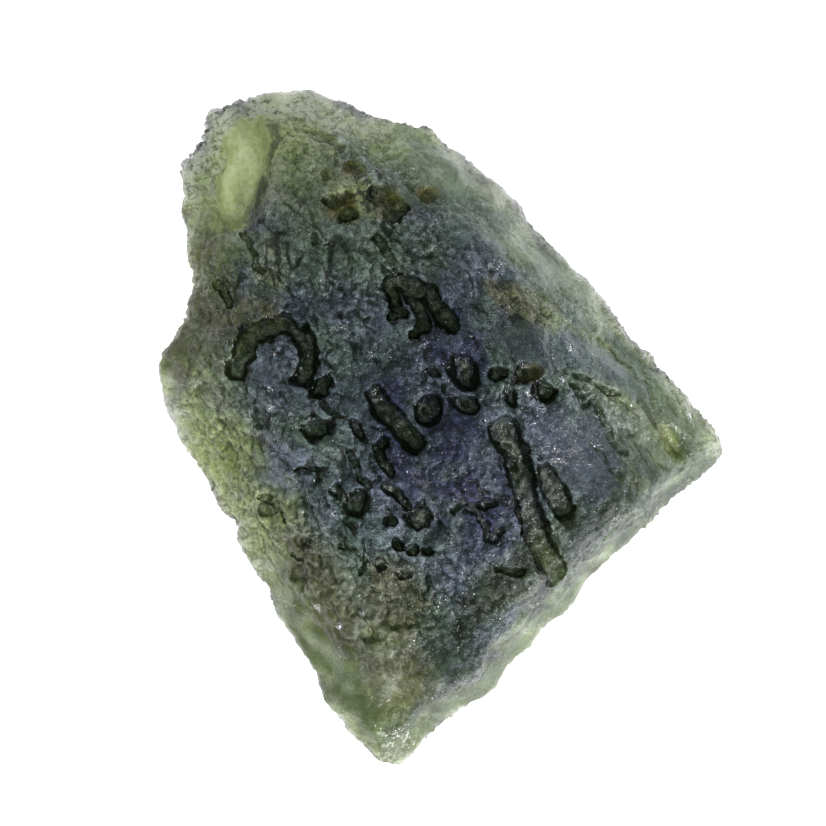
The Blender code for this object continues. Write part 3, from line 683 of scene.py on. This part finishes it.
class Skin:
    """The stone's skin before it is etched, and where each kind of relief lies on it."""

    def __init__(self, piece):
        self.mesh = piece.data
        self.points, self.facing = points_of(self.mesh), normals_of(self.mesh)
        self.thick = thickness_behind(piece, self.points, self.facing)
        self.upward = smooth_step(*UPWARD, self.facing[:, 2])
        self.side = 1.0 - smooth_step(*UPRIGHT, np.abs(self.facing[:, 2]))
        self.thin = 1.0 - smooth_step(*THICK_GLASS, self.thick)
        self.flow = along_flow(self.points)
        self.wander = waves(self.points, *GROOVE_WANDER)
        self.fray = waves(self.points, *GROOVE_FRAY)
        self.uneven = WALL_NARROWING + waves(self.points, *WALL_UNEVEN)
        self.x = self.points[:, 0] + self.wander + self.fray
        self.y = self.points[:, 1] + self.wander - self.fray
        self.find_hollows()
        self.find_scar()
        self.find_stretches()
        self.find_seams()

    def find_hollows(self):
        """The grooves and pits, which end at the fracture, and the small strewn pits."""
        beyond = self.points[:, 0] * FRACTURE_WAY[0] + self.points[:, 1] * FRACTURE_WAY[1]
        level = smooth_step(*LEVEL, self.facing[:, 2]) * (1.0 - smooth_step(*FRACTURE_EDGE, beyond))
        found = hollows(self.x, self.y, self.uneven)
        self.sunk, self.wall, self.floor = [part * level for part in found]
        self.strewn = strewn_pits(self.x, self.y)

    def find_scar(self):
        """The chip scar, and the broken ledge along its right side."""
        fray = SCAR_FRAY * self.fray
        self.inset = outline_inset(self.points[:, 0] + fray, self.points[:, 1] - fray, SCAR_EDGE)
        self.scar = smooth_step(*SCAR_RIM, self.inset) * self.upward
        reach = path_distance(self.x, self.y, LEDGE_LINE) / (LEDGE_WIDTH / 2)
        self.ledge = (1.0 - smooth_step(*LEDGE_FADE, reach)) * patches(self.points, *LEDGE_PATCHES)

    def find_stretches(self):
        """The calm stretches, the chipped end, the lumpy flank, and patches of strong peel and chips."""
        x, y, wander = self.points[:, 0], self.points[:, 1], self.wander
        calm = oval_share(x + 2 * wander, y - 2 * wander, CALM) * self.upward
        self.calm = np.maximum(CALM_STRENGTH * calm, self.scar)
        self.chipped = oval_share(x, y, TONES["chipped_end"][2])
        self.lumpy = oval_share(x + wander, y - wander, LUMPY_FLANK)
        self.patchy = patches(self.points, *PEEL_PATCHES)

    def find_seams(self):
        """The thin seams between cells of the skin, broken off in patches."""
        size, _, shift = SEAM_CELLS
        near, second = cells(along_flow(np.column_stack([self.x, self.y, self.points[:, 2]])), size, shift)
        broken = patches(self.points, *SEAM_PATCHES) * (1.0 - self.calm)
        broken = broken * (1.0 - SEAM_THIN_LOSS * self.thin) * self.upward
        self.seam = (1.0 - smooth_step(*SEAM_REACH, (second - near) * self.uneven)) * broken

    def rim_chips(self):
        """Chips broken out of the upright rims."""
        size, depth, shift = RIM_CHIPS
        near, _ = cells(self.points, size, shift)
        chips = (smooth_step(0.0, CHIP_REACH, near) - CHIP_LEVEL) * self.side * self.patchy
        return depth * chips * (1.0 + CHIPPED_MORE * self.chipped)

    def relief(self):
        """How far each point is moved out along its normal by lumps, peel, grain and chips."""
        points, flow, side, calm = self.points, self.flow, self.side, self.calm
        raised = (1.0 - CALM_LOSS * calm) * (
            lumps(flow, *DOMES) * (DOMES_FULL - DOMES_THIN_LOSS * self.thin) * (1.0 - SIDE_LOSS * side)
            + lumps(points, *PEEL) * (PEEL_LEAST + PEEL_MORE * self.patchy)
            + waves(points, *GRAIN))
        raised += (1.0 - CALM_BROAD_LOSS * calm) * (1.0 - SIDE_BROAD_LOSS * side) * (
            waves(flow, *SWELL) + waves(flow, *LUMPS))
        raised += lumps(flow, *FLANK_LUMPS) * self.lumpy * (1.0 - side)
        raised += lumps(points, *END_CHIPS) * self.chipped * (1.0 - self.scar)
        raised += self.rim_chips() - self.strewn * (1.0 - calm)
        raised += waves(points, *RIM_JAG) * np.maximum(side, self.chipped)
        raised += waves(points, *FLOOR_BUMPS) * self.floor
        return raised

    def etch(self):
        """Move the points by the relief, sink the hollows, seams and scar, and stay in the solid's box."""
        points = self.points
        off_the_rest = smooth_step(*OFF_THE_REST, points[:, 2])
        points += self.facing * (self.relief() * off_the_rest)[:, None]
        scar_depth = SCAR_DEPTH * smooth_step(*SCAR_SLOPE, self.inset) * self.upward
        points[:, 2] -= self.sunk + SEAM_CELLS[1] * self.seam + scar_depth
        self.points = np.clip(points, np.array(cad_low) / MM, np.array(cad_high) / MM)
        move_points(self.mesh, self.points)

    def sparkle(self):
        """Where painted glints, white metallic specks, go."""
        x, y = self.points[:, 0], self.points[:, 1]
        sparkle = GLITTER_STRENGTH * oval_share(x, y, GLITTER)
        for glint_x, glint_y in GLINTS:
            away = np.hypot(x - glint_x, y - glint_y) / GLINT_SIZE
            sparkle = np.maximum(sparkle, GLINT_STRENGTH * (1.0 - smooth_step(*GLINT_FADE, away)))
        return sparkle

    def dark_walls(self):
        """How much painted shade each hollow's wall gets: less over floors, on walls facing the key box and
        in amber pits.
        """
        away_from_key = 1.0 - WALL_KEY_LOSS * smooth_step(*FACING_KEY, -normals_of(self.mesh)[:, 1])
        amber = oval_share(self.x, self.y, TONES["amber"][2])
        return self.wall * (
            (1.0 - WALL_FLOOR_LOSS * self.floor) * away_from_key * (1.0 - WALL_AMBER_LOSS * amber))

    def keep_looks(self):
        """Store what the glass's material reads."""
        painted = smooth_step(*PAINTED, self.facing[:, 2])
        tones, deep = painted_tones(self.points, self.thick, painted, 2 * self.wander + self.fray)
        ledge = LEDGE_STRENGTH * self.ledge * self.upward * (1.0 - self.scar)
        keep_colour(self.mesh, "tone", mixed(tones, LEDGE_VIOLET, ledge))
        readings = {
            "deep": deep, "wall": self.dark_walls(), "floor": self.floor, "seam": self.seam,
            "scar": self.scar, "calm": self.calm, "sparkle": self.sparkle(), "crease": crease(self.mesh),
            "streaked": oval_share(self.x, self.y, STREAKED) * self.upward}
        for name, values in readings.items():
            keep_reading(self.mesh, name, values)


def thin_out_underside(piece):
    """Fewer faces underneath, so that the domed face can have the most."""
    select_only(piece)
    bpy.ops.object.mode_set(mode="EDIT")
    bpy.ops.mesh.select_mode(type="FACE")
    bpy.ops.mesh.select_all(action="DESELECT")
    bpy.ops.object.mode_set(mode="OBJECT")
    faces = piece.data.polygons
    flat = np.empty(len(faces) * 3)
    faces.foreach_get("normal", flat)
    faces.foreach_set("select", flat.reshape(-1, 3)[:, 2] < UNDER_FACING)
    bpy.ops.object.mode_set(mode="EDIT")
    bpy.ops.mesh.decimate(ratio=UNDER_SHARE)
    bpy.ops.object.mode_set(mode="OBJECT")


def triangle_count(mesh):
    """How many triangles the mesh's faces make."""
    return sum(len(face.vertices) - 2 for face in mesh.polygons)


def resize(piece, factor):
    """Scale the piece's mesh about the origin."""
    select_only(piece)
    piece.scale = (factor, factor, factor)
    bpy.ops.object.transform_apply(location=False, rotation=False, scale=True)


class Reading:
    """A number that changes over the surface, with sums on it made as Math nodes."""

    def __init__(self, finish, socket):
        self.finish = finish
        self.socket = socket

    def maths(self, operation, first, second):
        return self.finish.reading("ShaderNodeMath", {"operation": operation}, {0: first, 1: second})

    def __add__(self, other):
        return self.maths("ADD", self, other)

    __radd__ = __add__

    def __sub__(self, other):
        return self.maths("SUBTRACT", self, other)

    def __rsub__(self, other):
        return self.maths("SUBTRACT", other, self)

    def __mul__(self, other):
        return self.maths("MULTIPLY", self, other)

    __rmul__ = __mul__

    def between(self, low, high):
        """0 where this is under low, 1 where it is over high, and a smooth rise between."""
        return self.finish.reading(
            "ShaderNodeMapRange", {"interpolation_type": "SMOOTHSTEP"}, {0: self, 1: low, 2: high})


class Finish:
    """One material and its nodes."""

    def __init__(self, name):
        self.material = bpy.data.materials.new(name)
        self.material.use_nodes = True
        self.tree = self.material.node_tree
        self.tree.nodes.clear()

    def node(self, kind, settings=(), sockets=()):
        """A node: its settings first, then a value or a link for each named or numbered socket."""
        made = self.tree.nodes.new(kind)
        for name, value in dict(settings).items():
            setattr(made, name, value)
        for name, value in dict(sockets).items():
            if isinstance(value, Reading):
                value = value.socket
            if isinstance(value, bpy.types.NodeSocket):
                self.tree.links.new(value, made.inputs[name])
            else:
                made.inputs[name].default_value = value
        return made

    def reading(self, kind, settings=(), sockets=(), output=0):
        return Reading(self, self.node(kind, settings, sockets).outputs[output])

    def blend(self, share, first, second):
        """Two colours mixed by a share from 0 to 1."""
        mix = self.node("ShaderNodeMix", {"data_type": "RGBA"}, {0: share, 6: first, 7: second})
        return mix.outputs[2]

    def lit(self, colour, gain):
        """A colour made lighter or darker by a factor, and at most white."""
        scaled = self.node("ShaderNodeVectorMath", {"operation": "SCALE"}, {"Vector": colour, "Scale": gain})
        capped = self.node(
            "ShaderNodeVectorMath", {"operation": "MINIMUM"}, {0: scaled.outputs[0], 1: (1, 1, 1)})
        return capped.outputs[0]

    def cloud(self, where, scale, detail, roughness):
        """Soft noise from 0 to 1."""
        return self.reading("ShaderNodeTexNoise", {}, {
            "Vector": where, "Scale": scale, "Detail": detail, "Roughness": roughness})

    def kept(self, name):
        """A number that the mesh keeps at each point."""
        return self.reading("ShaderNodeAttribute", {"attribute_name": name}, output=2)


def glass_readings(finish):
    """What the glass reads over its surface: the numbers kept on the mesh, and noises on top of them."""
    place = finish.node("ShaderNodeTexCoord").outputs["Object"]
    place = finish.node("ShaderNodeMapping", {}, {"Vector": place, "Scale": [1 / MM] * 3}).outputs[0]
    drawn = finish.node("ShaderNodeMapping", {"vector_type": "TEXTURE"}, {
        "Vector": place, "Rotation": (0, 0, math.radians(STREAK_TURN)),
        "Scale": (STREAK_STRETCH, 1, 1)}).outputs[0]
    names = ("deep", "floor", "scar", "calm", "crease", "sparkle", "streaked")
    on = SimpleNamespace(**{name: finish.kept(name) for name in names})
    on.wall = finish.kept("wall").between(0.15, 0.75)
    on.seam = finish.kept("seam").between(0.50, 0.80)
    on.patch = finish.cloud(place, *PATCH_CLOUD)
    on.grain = finish.cloud(place, *GRAIN_CLOUD)
    on.fine = finish.cloud(place, *FINE_CLOUD)
    uncracked = finish.cloud(place, *CRACK_CLOUD) - 0.5
    uncracked = finish.reading("ShaderNodeMath", {"operation": "ABSOLUTE"}, {0: uncracked})
    on.cracks = (1 - uncracked.between(0.01, 0.045)) * on.patch.between(0.40, 0.52) * (1 - on.calm)
    on.streaks = (1 - finish.cloud(drawn, *STREAK_CLOUD).between(0.36, 0.48)) * on.streaked
    # Painted glints: white metallic specks where the fine noise peaks, more at the glint spots and stretches.
    glints = (on.fine + on.sparkle * 0.06 + (on.patch - 0.5) * 0.08).between(0.735, 0.76)
    on.glints = glints * (1 - on.wall)
    return on


def painted_relief_shade(finish, on, colour):
    """A colour made speckled on hollow floors, paler on crests (painted highlight), darker in dips and sunk
    seams (painted shade), and darker along cracks.
    """
    speckled = finish.blend(on.grain.between(0.40, 0.60), HOLLOW_DARK, HOLLOW_PALE)
    colour = finish.blend(on.floor * 0.65, colour, speckled)
    mottle = (on.grain * 0.45 + on.fine * 0.55).between(0.40, 0.60)
    # Crests of the skin are painted paler: a painted highlight.
    crest_highlight = (on.crease * -1.0).between(0.1, 1.0) * (1 - on.floor * 0.7)
    light = on.grain.between(0.52, 0.66) * (1 - on.calm * 0.6) * (1 - on.floor * 0.5)
    relief = crest_highlight * (on.deep * 0.45 + 0.2) + light * (on.deep * 0.5 + 0.1)
    colour = finish.lit(colour, 0.83 + relief + mottle * 0.5)
    dark = finish.blend(on.deep, SHADE_OLIVE, SHADE_DEEP)
    rough_dark = (1 - on.grain.between(0.38, 0.50)) * (1 - on.calm * 0.5) * (1 - on.floor * 0.6)
    # Dips and sunk seams are painted darker, with some grain darkness: a painted shade. Cracks are darkened
    # the same way.
    dip_shade = (on.crease.between(0.3, 1.3) + rough_dark * 0.7).between(0.1, 1.0)
    for share in (dip_shade * 0.6, on.cracks * 0.7, on.seam * 0.75):
        colour = finish.blend(share, colour, dark)
    return colour


def marked(finish, on, colour):
    """A colour with streaks, specks, clear chips, the scar, painted shade on the hollows' walls and painted
    glints over it.
    """
    chipped = on.sparkle.between(0.4, 1.1)
    scar_colour = finish.blend(on.grain.between(0.38, 0.6), SCAR_OLIVE, SCAR_PALE)
    marks = [
        (on.streaks * 0.75, STREAK_GREEN),
        ((1 - on.grain.between(0.36, 0.43)) * chipped * 0.8, SPECK_BROWN),
        (on.grain.between(0.54, 0.60) * chipped * 0.85, CHIP_CLEAR),
        (on.scar.between(0.3, 0.7), scar_colour),
        # Hollow walls painted near black: painted shade, lighter on walls facing the key box.
        (on.wall * 0.98, WALL_SHADE_BLACK),
        # Painted glints: white metallic specks.
        (on.glints, GLINT_WHITE)]
    for share, mark in marks:
        colour = finish.blend(share, colour, mark)
    return colour


def tektite_glass():
    """See-through green natural glass with a slate bloom on its etched skin, painted shade on its glossy
    hollow walls and in dips, paler crests, and painted glints.
    """
    finish = Finish("tektite_glass")
    on = glass_readings(finish)
    tone = finish.node("ShaderNodeAttribute", {"attribute_name": "tone"}).outputs[0]
    colour = marked(finish, on, painted_relief_shade(finish, on, tone))
    roughness = 0.33 - on.deep * 0.14 + (on.grain - 0.5) * 0.2
    roughness = roughness - on.floor * 0.08 - on.wall * 0.08 + on.glints * 0.2
    rough_skin = (1 - on.calm * 0.6) * (0.65 + on.deep * 0.35) * (1 - on.wall * 0.8) + on.scar * 0.4
    height = (on.grain * 0.82 + on.fine * 0.18) * rough_skin
    bump = finish.node("ShaderNodeBump", {}, {"Strength": 1.0, "Distance": GLASS_BUMP, "Height": height})
    shader = finish.node("ShaderNodeBsdfPrincipled", {}, {
        "Base Color": colour, "Roughness": roughness, "Metallic": on.glints, "Normal": bump.outputs[0],
        "Specular IOR Level": GLASS_SPECULAR, "Transmission Weight": GLASS_CLEAR, "IOR": GLASS_IOR})
    inside = finish.node("ShaderNodeVolumeAbsorption", {}, {"Color": GLASS_TINT, "Density": GLASS_DENSITY})
    finish.node("ShaderNodeOutputMaterial", {}, {"Surface": shader.outputs[0], "Volume": inside.outputs[0]})
    return finish.material


def pale_floor():
    """The plain pale surface under the stone, lit from behind as on a light table."""
    bpy.ops.object.select_all(action="DESELECT")
    bpy.ops.mesh.primitive_plane_add(size=FLOOR_SIZE, location=(0, 0, -FLOOR_DROP))
    floor = bpy.context.view_layer.objects.active
    floor.name = "pale_floor"
    finish = Finish("pale_floor")
    shader = finish.node("ShaderNodeBsdfPrincipled", {}, {
        "Base Color": FLOOR_GREY, "Roughness": 0.8, "Specular IOR Level": 0.0,
        "Emission Color": WHITE, "Emission Strength": FLOOR_GLOW})
    finish.node("ShaderNodeOutputMaterial", {}, {"Surface": shader.outputs[0]})
    floor.data.materials.append(finish.material)


def soft_light():
    """A pale dome and a few softboxes that look at the stone."""
    world = bpy.data.worlds.new("studio")
    bpy.context.scene.world = world
    world.use_nodes = True
    background = world.node_tree.nodes["Background"]
    background.inputs["Color"].default_value = (*DOME, 1)
    background.inputs["Strength"].default_value = DOME_STRENGTH
    for name, (place, size, power) in SOFTBOXES.items():
        light = bpy.data.lights.new(name, "AREA")
        light.size = size
        light.energy = power
        lamp = bpy.data.objects.new(name, light)
        bpy.context.scene.collection.objects.link(lamp)
        lamp.location = place
        lamp.rotation_euler = (-Vector(place)).to_track_quat("-Z", "Y").to_euler()
        lamp.visible_camera = False


def camera():
    """Straight above the stone, framed as the photo is."""
    data = bpy.data.cameras.new("camera")
    eye = bpy.data.objects.new("camera", data)
    bpy.context.scene.collection.objects.link(eye)
    half = PHOTO_WIDTH / 2
    middle_x = (half - STONE_MIDDLE_PX[0]) * PIXEL
    middle_y = (STONE_MIDDLE_PX[1] - half) * PIXEL
    eye.location = (middle_x, middle_y, CAMERA_HEIGHT)
    data.sensor_width = SENSOR
    data.lens = SENSOR * (CAMERA_HEIGHT - SCALE_HEIGHT) / (PHOTO_WIDTH * PIXEL)
    data.clip_start = 0.01
    data.clip_end = 10
    bpy.context.scene.camera = eye


def moldavite_stone():
    """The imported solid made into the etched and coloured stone, worked on at a thousand times its size."""
    stone = copy_of_node("moldavite", "moldavite_stone")
    resize(stone, 1 / MM)
    modify(stone, "SUBSURF", levels=1, render_levels=1)
    modify(stone, "REMESH", mode="VOXEL", voxel_size=SKIN_VOXEL)
    modify(stone, "SMOOTH", factor=SOFTEN_SHARE, iterations=SOFTEN_TURNS)
    thin_out_underside(stone)
    skin = Skin(stone)
    skin.etch()
    skin.keep_looks()
    modify(stone, "DECIMATE", ratio=min(1.0, MOST_TRIANGLES / triangle_count(stone.data)))
    resize(stone, MM)
    stone.data.shade_smooth()
    stone.data.materials.append(tektite_glass())
    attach(stone, "root")
    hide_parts("moldavite")


camera()
moldavite_stone()
pale_floor()
soft_light()
bpy.context.scene.view_settings.view_transform = "Standard"
